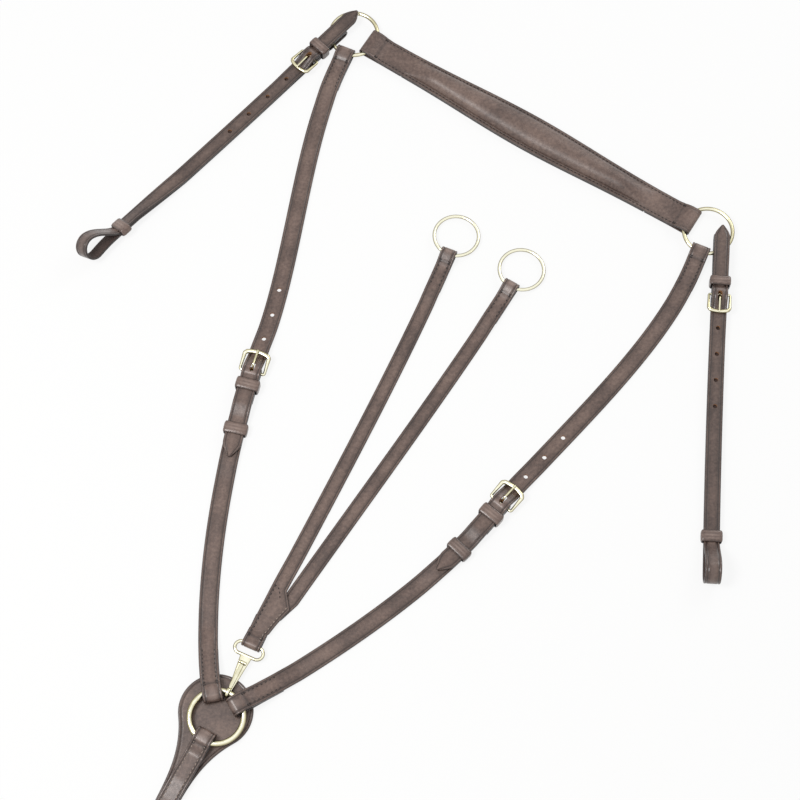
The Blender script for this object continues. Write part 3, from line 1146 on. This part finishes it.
def wither_section(s, lift):
    """Rows (y, outer height, inner height, burnish) across the wither strap: edge, sewn margin, padded roll."""
    edge, half = wither_w(s) / 2, wither_w(s) / 2 - ROLL_MARGIN
    share, full = lift / ROLL_H, (ROLL_H - WITHER_T) / ROLL_H
    thin = 0.9 * WITHER_T * share
    left = [(edge, -0.9, 0.55, 1.0), (edge - 0.2, -0.35, 0.2, 0.9), (edge - 0.7, -0.04, 0.0, 0.55),
            (edge - 1.5, 0.0, 0.0, 0.15), (edge - 2.4, -0.02, 0.0, 0.1), (edge - 3.0, -0.3, 0.0, 0.65),
            (edge - 3.6, -0.06, 0.0, 0.25), (edge - 4.3, -0.02, 0.0, 0.1)]
    arc = []
    for i in range(25):
        q = math.pi * i / 24
        arc.append((half * math.cos(q), lift * math.sin(q), (half - thin) * math.cos(q),
                    lift * full * math.sin(q), 0.25 * (1 - math.sin(q)) ** 2))
    rows = [(y, d, y, e, b) for y, d, e, b in left] + arc
    return rows + [(-y, d, -v, e, b) for y, d, v, e, b in rows[7::-1]]


class MARTINGALE_OT_wither_strap(bpy.types.Operator):
    """Makes the padded wither strap and its lining"""
    bl_idname = "martingale.wither_strap"
    bl_label = "Wither Strap"

    def execute(self, context):
        route, path, t = ROUTES["wither"], clean_path(wither_path()), WITHER_T
        verts, burnish, count, stations = [], [], 0, path_frames(path)
        for s, z, _, _, ns, nz in stations:
            lift = roll_h(s) if nz > 0.5 else 0.0
            rows = wither_section(s, lift)
            count = len(rows)
            drawn = drawn_down(abs(from_end(s) - WITHER_SEAM)) if nz > 0.7 else 0.0
            for y, d, _, _, b in rows:
                d -= SEAM_DEPTH * drawn
                verts.append(route.lay(s + ns * (t / 2 + d), y, z + nz * (t / 2 + d)))
                burnish.append(max(b, SEAM_INK * drawn))
            for _, _, y, e, b in rows[::-1]:
                verts.append(route.lay(s - ns * (t / 2 - e), y, z - nz * (t / 2 - e)))
                burnish.append(0.6 if b > 0.9 else 0.0)
        n = 2 * count
        row = [GRAIN if j < count - 1 else EDGE if j in (count - 1, n - 1) else FLESH for j in range(n)]
        face = finish_piece("padded_wither_leather", verts, loops_to_faces(len(stations), n),
                            ["padded_leather", *BACK],
                            row * (len(stations) - 1) + [EDGE, EDGE], burnish)
        adopt(face, "neck_loop", "leather", "wither_face", "wither_padding")
        for edge in (1, -1):
            line = []
            for s, z, _, _, ns, nz in stations:
                if nz > 0.6 and WITHER_SEAM <= from_end(s):
                    y, d = edge * (wither_w(s) / 2 - 3.0), t / 2 - 0.12
                    line.append(route.lay(s + ns * d, y, z + nz * d))
            sew("neck_loop", line)
        for s_at in (WITHER_SEAM, WITHER_SPAN - WITHER_SEAM):
            sew_across("neck_loop", route, wither_path(), t, s_at, WITHER_END_W / 2 - 3.0)
        start = ROLL_FROM + 1
        spots = [start + (WITHER_SPAN - 2 * start) * i / WITHER_STEPS for i in range(WITHER_STEPS + 1)]
        lining = [(s, t / 2, wither_w(s), 0.0) for s in spots]
        adopt(strap_mesh("wither_lining_leather", route, lining, t, grain=-1), "neck_loop", "dark_leather",
              "wither_lining")
        sew_strap("neck_loop", route, lining, t, (start + 3, WITHER_SPAN - start - 3), 3.0, grain=-1, sides=(-1,))
        return {"FINISHED"}


def keeper_mesh(name, place, w, z0, z1, length):
    """Leather band round a strap: soft corners and a crowned, faintly rippled face."""
    inner_w, inner_h = w + 2 * KEEPER_SIDE_ROOM, z1 - z0 + 2 * KEEPER_ROOM
    r, t, ripple_pitch, ripple_h, arch_h = 1.0, KEEPER_T, 3.4, 0.05, 0.5
    centre = (z0 + z1) / 2
    outline = []
    corners = [(1, 1, 0), (-1, 1, 90), (-1, -1, 180), (1, -1, 270)]
    for sy, sz, start in corners:
        cy, cz = sy * (inner_w / 2 - r), sz * (inner_h / 2 - r)
        for k in range(7):
            q = math.radians(start + 15 * k)
            outline.append((cy, cz, math.cos(q), math.sin(q)))
    mid = []
    for i, a in enumerate(outline):
        b = outline[(i + 1) % len(outline)]
        mid.append(a)
        if i % 7 == 6:
            mid += [tuple(a[k] + (b[k] - a[k]) * j / 6 for k in range(4)) for j in range(1, 6)]
    h, section, wear = length / 2, [], []
    for i in range(25):
        u = 1 - i / 12
        wave = math.cos(math.pi * (u * length / ripple_pitch + 0.35))
        ripple = ripple_h * wave * (1 - u * u)
        section.append((h * u, t * (1.22 - 0.62 * u ** 4 - 0.2 * u ** 16) + ripple))
        wear.append(u ** 10 - (0.3 + 0.16 * wave) * (1 - u * u))
    section += [(-h + 0.3, 0.0), (h - 0.3, 0.0)]
    wear += [1, 1]
    verts, burnish = [], []
    for cy, cz, ny, nz in mid:
        for (x, d), b in zip(section, wear):
            arch = arch_h * (1 - (cy / (inner_w / 2)) ** 2) * max(0.0, nz) * (d > 0.1)
            verts.append(place @ Vector((x, cy + ny * (r + d), centre + cz + nz * (r + d) + arch)))
            middle = max(0.0, nz) * (1 - 0.8 * (cy / (inner_w / 2)) ** 2)
            burnish.append(float(b if b > 0 else b * middle))
    n = len(section)
    slots = [EDGE if j >= n - 3 else GRAIN for j in range(n)] * len(mid)
    return finish_piece(name, verts, loops_to_faces(len(mid), n, True), ["keeper_leather", "burnished_edge"],
                        slots, burnish)


class MARTINGALE_OT_keepers(bpy.types.Operator):
    """Makes the fixed and running keepers"""
    bl_idname = "martingale.keepers"
    bl_label = "Keepers"

    def execute(self, context):
        low, high = LIFTED_Z - STRAP_T / 2, LIFTED_Z + RISE + STRAP_T / 2
        bands = []
        for side in ("left", "right"):
            h, place = HEELS[side], ROUTES[side].place
            bands.append((f"{side}_shoulder_keeper", "neck_loop", place(h - KEEPER_FROM - KEEPER_L / 2), STRAP_W,
                          low, high + RISE, KEEPER_L))
            bands.append((f"{side}_shoulder_runner", None, place(h - RUNNER_AT), STRAP_W, low, high, KEEPER_L))
            h, place = HEELS[f"{side}_saddle"], ROUTES[f"{side}_saddle"].place
            bands.append((f"{side}_saddle_keeper", f"{side}_saddle_strap",
                          place(h - KEEPER_FROM - SADDLE_KEEPER_L / 2), LIGHT_W, LIGHT_LIFTED_Z - LIGHT_T / 2,
                          SADDLE_CHAPE + 2 * LIGHT_RISE + LIGHT_T / 2 + 0.9, SADDLE_KEEPER_L))
            bands.append((f"{side}_saddle_runner", None,
                          place(SADDLE_END - SADDLE_LOOP_L - KEEPER_L / 2 - 1), LIGHT_W,
                          LIGHT_LIFTED_Z - LIGHT_T / 2, LIGHT_LIFTED_Z + LIGHT_RISE + LIGHT_T / 2, KEEPER_L))
        place = ROUTES["girth"].place
        bands.append(("girth_keeper", "girth_strap", place(GIRTH_HEEL - KEEPER_FROM - KEEPER_L / 2), STRAP_W, low,
                      GIRTH_BILLET + STRAP_T / 2, KEEPER_L))
        bands.append(("girth_runner", None, place(GIRTH_HEEL - RUNNER_AT), STRAP_W, low, high, KEEPER_L))
        for node, body, where, w, z0, z1, length in bands:
            adopt(keeper_mesh(f"{node}_leather", where, w, z0, z1, length), body or node, "dark_leather", node)
        return {"FINISHED"}


def torus(r, wire, around=144, across=24):
    ring = round_section(wire / 2, wire / 2, across)
    return sweep(corner_arc((0, 0), r, 0, 360, around)[:-1], UP, lambda i: ring, True)


class MARTINGALE_OT_rings(bpy.types.Operator):
    """Makes the breast ring, the wither rings and the rein rings"""
    bl_idname = "martingale.rings"
    bl_label = "Rings"

    def execute(self, context):
        rings = [("breast_ring", Matrix.Translation((0, 0, BREAST_Z)), BREAST_R, BREAST_WIRE)]
        for side, at in (("left", LEFT_RING), ("right", RIGHT_RING)):
            rings.append((f"{side}_wither_ring", Matrix.Translation((at.x, at.y, WITHER_Z)), WITHER_R, WITHER_WIRE))
        for side, way in (("left", LEFT_TURN), ("right", RIGHT_TURN)):
            a = rein_ring_heading(way)
            axis = rein_ring_at(way) - REIN_AXIS_BACK * toward(a)
            place = (Matrix.Translation((axis.x, axis.y, REIN_AXIS_Z)) @ Matrix.Rotation(math.radians(a), 4, "Z")
                     @ Matrix.Rotation(math.radians(REIN_DROOP), 4, "Y")
                     @ Matrix.Translation((REIN_AXIS_BACK, 0, 0)))
            rings.append((f"{side}_rein_ring", place, REIN_R, REIN_WIRE))
        for node, place, r, wire in rings:
            drawn = "pale_drawn_brass" if r == REIN_R else "polished_brass"
            adopt(cast(f"{node}_brass", place, [torus(r, wire)], drawn), node, "brass", node)
        return {"FINISHED"}


def buckle_mesh(name, place, strap_w, length, bar, front, heel_z, front_z):
    """Cast buckle frame: straight heel bar, tapering sides and a thick bowed front bar with a flat on top."""
    half, bow, heel_r, front_r = strap_w / 2 + 1 + front / 2, 2.2, 1.6, 2.2
    bow_r = (half * half + bow * bow) / (2 * bow)
    reach = math.degrees(math.asin(half / bow_r)) * 0.86
    side = corner_arc((heel_r, half - heel_r), heel_r, 180, 90)
    side += [Vector((heel_r + (length - bow - 4.6) * i / 6, half, 0)) for i in range(1, 6)]
    side += corner_arc((length - bow - front_r, half - front_r), front_r, 90, 18)
    line = [Vector((0, -half * 0.8 + 1.6 * half * i / 12, 0)) for i in range(13)]
    line += side + corner_arc((length - bow_r, 0), bow_r, reach, -reach, 24)
    line += [Vector((p.x, -p.y, 0)) for p in side[::-1]]

    def section(i):
        u = max(0.0, min(1.0, line[i].x / (length - bow)))
        d = bar + (front - bar) * u * u
        return round_section(d / 2, d / 2 * (1 + 0.04 * u), 18, 2.0 + 0.5 * u)

    tilt = Matrix.Rotation(-math.atan2(front_z - heel_z, length), 4, "Y")
    return cast(name, place @ Matrix.Translation((0, 0, heel_z)) @ tilt, [sweep(line, UP, section, True)])


def tongue_mesh(name, place, length, bar, front, heel_z, front_z, hump):
    """Buckle tongue: an eye rolled round the heel bar and a round arm that rests on the front bar."""
    d, wall, (hump_x, hump_z) = 0.8 * bar, 0.9, hump
    side, mid_r = d + 0.4, bar / 2 + PIN_GAP + wall / 2
    rest, over = front_z + front / 2 + d / 2 + 0.1, hump_z - 0.35
    eye = upright((0, heel_z), mid_r, 0, 360, 28)[:-1]
    flat = round_section(side / 2, wall / 2, 14, 4.0)
    arm = spline([Vector((x, 0, z)) for x, z in (
        (1.0, heel_z + mid_r * 0.9), (hump_x * 0.55, heel_z + (hump_z - heel_z) * 0.62), (hump_x - 0.2, over),
        (hump_x + 3.2, over - (hump_z - rest) * 0.2), (length - 2, rest + 0.12),
        (length + front / 2 - 0.4, rest - 0.1))], 8)
    last = len(arm) - 1

    def section(i):
        u = i / last
        k = (1 - 0.2 * u) * (1 if u < 0.93 else max(0.35, 1 - ((u - 0.93) / 0.07) ** 2 * 0.65))
        return round_section(side / 2 * k * 0.94, d / 2 * k * 0.94, 14, 2.4)

    return cast(name, place, [sweep(eye, ACROSS, lambda i: flat, True), sweep(arm, ACROSS, section)])


class MARTINGALE_OT_buckles(bpy.types.Operator):
    """Makes the buckles and their tongues"""
    bl_idname = "martingale.buckles"
    bl_label = "Buckles"

    def execute(self, context):
        heavy = (STRAP_W, BUCKLE_L, BAR, BUCKLE_FRONT)
        light = (LIGHT_W, SADDLE_BUCKLE_L, LIGHT_BAR, SADDLE_FRONT)
        buckles = [("girth", "girth", "girth_strap", heavy, GIRTH_HEEL_Z, GIRTH_FRONT_Z, GIRTH_OVER + STRAP_T / 2)]
        for side in ("left", "right"):
            buckles.append((f"{side}_shoulder", side, "neck_loop", heavy, SHOULDER_HEEL_Z, SHOULDER_FRONT_Z,
                            SHOULDER_OVER + STRAP_T / 2))
            buckles.append((f"{side}_saddle", f"{side}_saddle", f"{side}_saddle_strap", light, SADDLE_HEEL_Z,
                            SADDLE_FRONT_Z, SADDLE_OVER + LIGHT_T / 2))
        for name, way, body, (w, length, bar, front), heel_z, front_z, top in buckles:
            place = ROUTES[way].place(HEELS[way])
            adopt(buckle_mesh(f"{name}_buckle_brass", place, w, length, bar, front, heel_z, front_z), body, "brass",
                  f"{name}_buckle")
            adopt(tongue_mesh(f"{name}_tongue_brass", place, length, bar, front, heel_z, front_z,
                              (2.2 * bar, top)), f"{name}_tongue", "brass", f"{name}_tongue")
        return {"FINISHED"}


HOOK_IN = BREAST_WIRE / 2 + SNAP_EASE
HOOK_MID = HOOK_IN + HOOK_T / 2
HOOK_TIP, EYE_GAP, EYE_HALF, SHANK_END_W = 35.0, 12.0, 8.5, 12.0
NEAR_BAR = SNAP_L - EYE_GAP
PIN_X, GATE_W, GATE_T, LUG_T = NEAR_BAR - 8, 3.6, 1.0, 1.2
GATE_EYE_R = PIN_D / 2 + PIN_GAP + 0.7
PIN_Z = -HOOK_IN + GATE_EYE_R + 0.2


def barrel(x, y0, y1, z, outer, inner, n=24):
    """Short tube along y."""
    rings = [(y0, inner), (y0, outer - 0.15), (y0 + 0.15, outer), (y1 - 0.15, outer), (y1, outer - 0.15), (y1, inner)]
    verts = [Vector((x + r * math.cos(2 * math.pi * k / n), y, z + r * math.sin(2 * math.pi * k / n)))
             for y, r in rings for k in range(n)]
    return verts, loops_to_faces(len(rings), n, True)


class MARTINGALE_OT_snap_hook(bpy.types.Operator):
    """Makes the snap hook, its gate and the pin's finish"""
    bl_idname = "martingale.snap_hook"
    bl_label = "Snap Hook"

    def execute(self, context):
        place = (Matrix.Translation((SNAP_FOOT.x, SNAP_FOOT.y, BREAST_Z))
                 @ Matrix.Rotation(math.radians(SNAP_LEAVE), 4, "Z"))
        shank = [Vector((NEAR_BAR - NEAR_BAR * i / 24, 0, -HOOK_MID)) for i in range(24)]
        hook = upright((0, 0), HOOK_MID, 270, HOOK_TIP, 32)
        line = shank + hook
        last = len(line) - 1

        def section(i):
            w = HOOK_W / 2
            if i < len(shank):
                w += (SHANK_END_W - HOOK_W) / 2 * max(0.0, line[i].x / NEAR_BAR) ** 1.15
            end = 1.0 if i < last - 2 else 0.92 if i < last - 1 else 0.78 if i < last else 0.5
            return round_section(w * end, HOOK_T / 2 * end, 20, 3.2 if i < len(shank) else 2.6)

        r, sides = EYE_GAP / 2, [-EYE_HALF + 2 * EYE_HALF * i / 12 for i in range(12)]
        eye = [Vector((NEAR_BAR, y, 0)) for y in sides] + corner_arc((NEAR_BAR + r, EYE_HALF), r, 180, 0, 16)[:-1]
        eye += [Vector((SNAP_L, -y, 0)) for y in sides] + corner_arc((NEAR_BAR + r, -EYE_HALF), r, 0, -180, 16)[:-1]
        eye = [p - HOOK_MID * UP for p in eye]
        wire = round_section(SNAP_WIRE / 2, SNAP_WIRE / 2, 18)
        lug, rise = round_section(LUG_T / 2, GATE_EYE_R * 0.95, 12, 4), PIN_Z + HOOK_IN - 0.5
        parts = [sweep(line, ACROSS, section), sweep(eye, UP, lambda i: wire, True)]
        for y in (-1, 1):
            near, far = sorted((y * (GATE_W / 2 + 0.2), y * (GATE_W / 2 + 0.2 + LUG_T)))
            parts.append(barrel(PIN_X, near, far, PIN_Z, GATE_EYE_R, PIN_D / 2))
            foot = [Vector((PIN_X, (near + far) / 2, -HOOK_IN - 0.4 + rise * i / 4)) for i in range(5)]
            parts.append(sweep(foot, ACROSS, lambda i: lug))
        adopt(cast("snap_hook_brass", place, parts), "snap_hook", "brass", "snap_body")

        tip = hook[-1] + 0.65 * toward(HOOK_TIP - 90).to_3d().xzy
        start = Vector((PIN_X, 0, PIN_Z))
        leaf = [start + (tip - start) * (0.07 + 0.93 * i / 20) for i in range(21)]

        def leaf_section(i):
            end = 1.0 if i < 18 else (0.94, 0.8, 0.55)[i - 18]
            return round_section(GATE_W / 2 * end, GATE_T / 2, 14, 3.5)

        parts = [sweep(leaf, ACROSS, leaf_section),
                 barrel(PIN_X, -GATE_W / 2, GATE_W / 2, PIN_Z, GATE_EYE_R, PIN_D / 2 + PIN_GAP)]
        adopt(cast("snap_gate_brass", place, parts), "snap_gate", "brass", "snap_gate")
        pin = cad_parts["snap_pin"].data
        pin.materials.clear()
        pin.materials.append(material("polished_brass"))
        return {"FINISHED"}


class MARTINGALE_OT_stitches(bpy.types.Operator):
    """Sews the stitch lines that the straps have left"""
    bl_idname = "martingale.stitches"
    bl_label = "Stitches"

    def execute(self, context):
        look, tree = context.scene.martingale_thread, stitch_tree()
        sockets = {s.name: s.identifier for s in tree.interface.items_tree if s.in_out == "INPUT"}
        for (body, thread), lines in STITCH_LINES.items():
            verts, edges = [], []
            for line in lines:
                edges += [(len(verts) + i, len(verts) + i + 1) for i in range(len(line) - 1)]
                verts += [p * MM for p in line]
            name = f"{body}_{thread}"
            mesh = bpy.data.meshes.new(name)
            mesh.from_pydata(verts, edges, [])
            obj = bpy.data.objects.new(name, mesh)
            context.scene.collection.objects.link(obj)
            modifier = obj.modifiers.new("Stitches", "NODES")
            modifier.node_group = tree
            modifier[sockets["Pitch"]] = look.pitch
            modifier[sockets["Length"]] = look.length
            modifier[sockets["Thread"]] = look.thickness
            modifier[sockets["Material"]] = material(thread)
            freeze(obj)
            for p in obj.data.polygons:
                p.use_smooth = True
            adopt(obj, body, "dark_leather")
        return {"FINISHED"}


class MARTINGALE_OT_stage(bpy.types.Operator):
    """Sets the floor, the soft light and the camera"""
    bl_idname = "martingale.stage"
    bl_label = "Stage"

    def execute(self, context):
        scene, look = context.scene, context.scene.martingale_stage
        size, drop = 6.0, -0.6 * MM
        mesh = bpy.data.meshes.new("floor")
        mesh.from_pydata([(-size, -size, drop), (size, -size, drop), (size, size, drop), (-size, size, drop)],
                         [], [(0, 1, 2, 3)])
        floor = bpy.data.objects.new("floor", mesh)
        scene.collection.objects.link(floor)
        paint, tree, shader, _ = new_material("floor_paper", Roughness=0.9)
        shader.inputs["Base Color"].default_value = linear(look.floor)
        out = next(n for n in tree.nodes if n.type == "OUTPUT_MATERIAL")
        seen = self.seen(tree)
        white = add_node(tree, "ShaderNodeEmission", {"Color": (1, 1, 1, 1), "Strength": 1.0})
        share = add_node(tree, "ShaderNodeMath", {1: 0.86}, {0: seen}, operation="MULTIPLY")
        mix = add_node(tree, "ShaderNodeMixShader", links={0: share.outputs[0], 1: shader.outputs[0],
                                                           2: white.outputs[0]})
        tree.links.new(mix.outputs[0], out.inputs["Surface"])
        mesh.materials.append(paint)

        world = bpy.data.worlds.new("room")
        world.use_nodes = True
        tree = world.node_tree
        tree.nodes.clear()
        light = add_node(tree, "ShaderNodeBackground", {"Color": (1, 1, 1, 1), "Strength": look.room})
        back = add_node(tree, "ShaderNodeBackground", {"Color": (1, 1, 1, 1), "Strength": 1.0})
        mix = add_node(tree, "ShaderNodeMixShader", links={0: self.seen(tree), 1: light.outputs[0],
                                                           2: back.outputs[0]})
        add_node(tree, "ShaderNodeOutputWorld", links={"Surface": mix.outputs[0]})
        scene.world = world

        target = Vector(look.target)
        for name, power, width, place in (("key", look.key, 0.7, (-0.95, -0.35, 1.85)),
                                         ("fill", look.fill, 1.0, (1.3, 1.4, 1.2))):
            lamp = bpy.data.lights.new(name, "AREA")
            lamp.energy, lamp.size = power, width
            obj = bpy.data.objects.new(name, lamp)
            obj.location = target + Vector(place)
            obj.rotation_euler = (target - obj.location).to_track_quat("-Z", "Y").to_euler()
            scene.collection.objects.link(obj)

        camera = bpy.data.cameras.new("camera")
        camera.lens, camera.sensor_width, camera.dof.use_dof = look.lens, 36.0, False
        camera.clip_end = 100
        obj = bpy.data.objects.new("camera", camera)
        back_way = Vector((0, -math.cos(look.elevation), math.sin(look.elevation)))
        obj.location = target + back_way * look.distance
        obj.rotation_euler = (-back_way).to_track_quat("-Z", "Y").to_euler()
        scene.collection.objects.link(obj)
        scene.camera = obj
        scene.view_settings.view_transform = "Standard"
        return {"FINISHED"}

    @staticmethod
    def seen(tree):
        """1 for what the camera sees directly, in a reflection or through glass."""
        path = add_node(tree, "ShaderNodeLightPath").outputs
        first = add_node(tree, "ShaderNodeMath", links={0: path["Is Camera Ray"], 1: path["Is Glossy Ray"]},
                         operation="ADD")
        both = add_node(tree, "ShaderNodeMath", links={0: first.outputs[0], 1: path["Is Transmission Ray"]},
                        operation="ADD", use_clamp=True)
        return both.outputs[0]


STEPS = (MARTINGALE_OT_materials, MARTINGALE_OT_shoulder_straps, MARTINGALE_OT_saddle_straps, MARTINGALE_OT_fork,
         MARTINGALE_OT_girth_strap, MARTINGALE_OT_wither_strap, MARTINGALE_OT_keepers, MARTINGALE_OT_rings,
         MARTINGALE_OT_buckles, MARTINGALE_OT_snap_hook, MARTINGALE_OT_stitches, MARTINGALE_OT_stage)
GROUPS = {"martingale_leather": MartingaleLeather, "martingale_thread": MartingaleThread,
          "martingale_brass": MartingaleBrass, "martingale_stage": MartingaleStage}


class MARTINGALE_PT_panel(bpy.types.Panel):
    """Lists the pieces and their settings"""
    bl_idname = "MARTINGALE_PT_panel"
    bl_label = "Martingale"
    bl_space_type = "VIEW_3D"
    bl_region_type = "UI"
    bl_category = "Martingale"

    def draw(self, context):
        for name, group in GROUPS.items():
            box = self.layout.box()
            for key in group.__annotations__:
                box.prop(getattr(context.scene, name), key)
        for step in STEPS:
            self.layout.operator(step.bl_idname)


CLASSES = (*GROUPS.values(), *STEPS, MARTINGALE_PT_panel)


def register():
    for cls in CLASSES:
        bpy.utils.register_class(cls)
    for name, group in GROUPS.items():
        setattr(bpy.types.Scene, name, PointerProperty(type=group))


def unregister():
    for name in GROUPS:
        delattr(bpy.types.Scene, name)
    for cls in reversed(CLASSES):
        bpy.utils.unregister_class(cls)


def main():
    register()
    for step in STEPS:
        family, name = step.bl_idname.split(".")
        getattr(getattr(bpy.ops, family), name)()


if __name__ == "__main__":
    main()
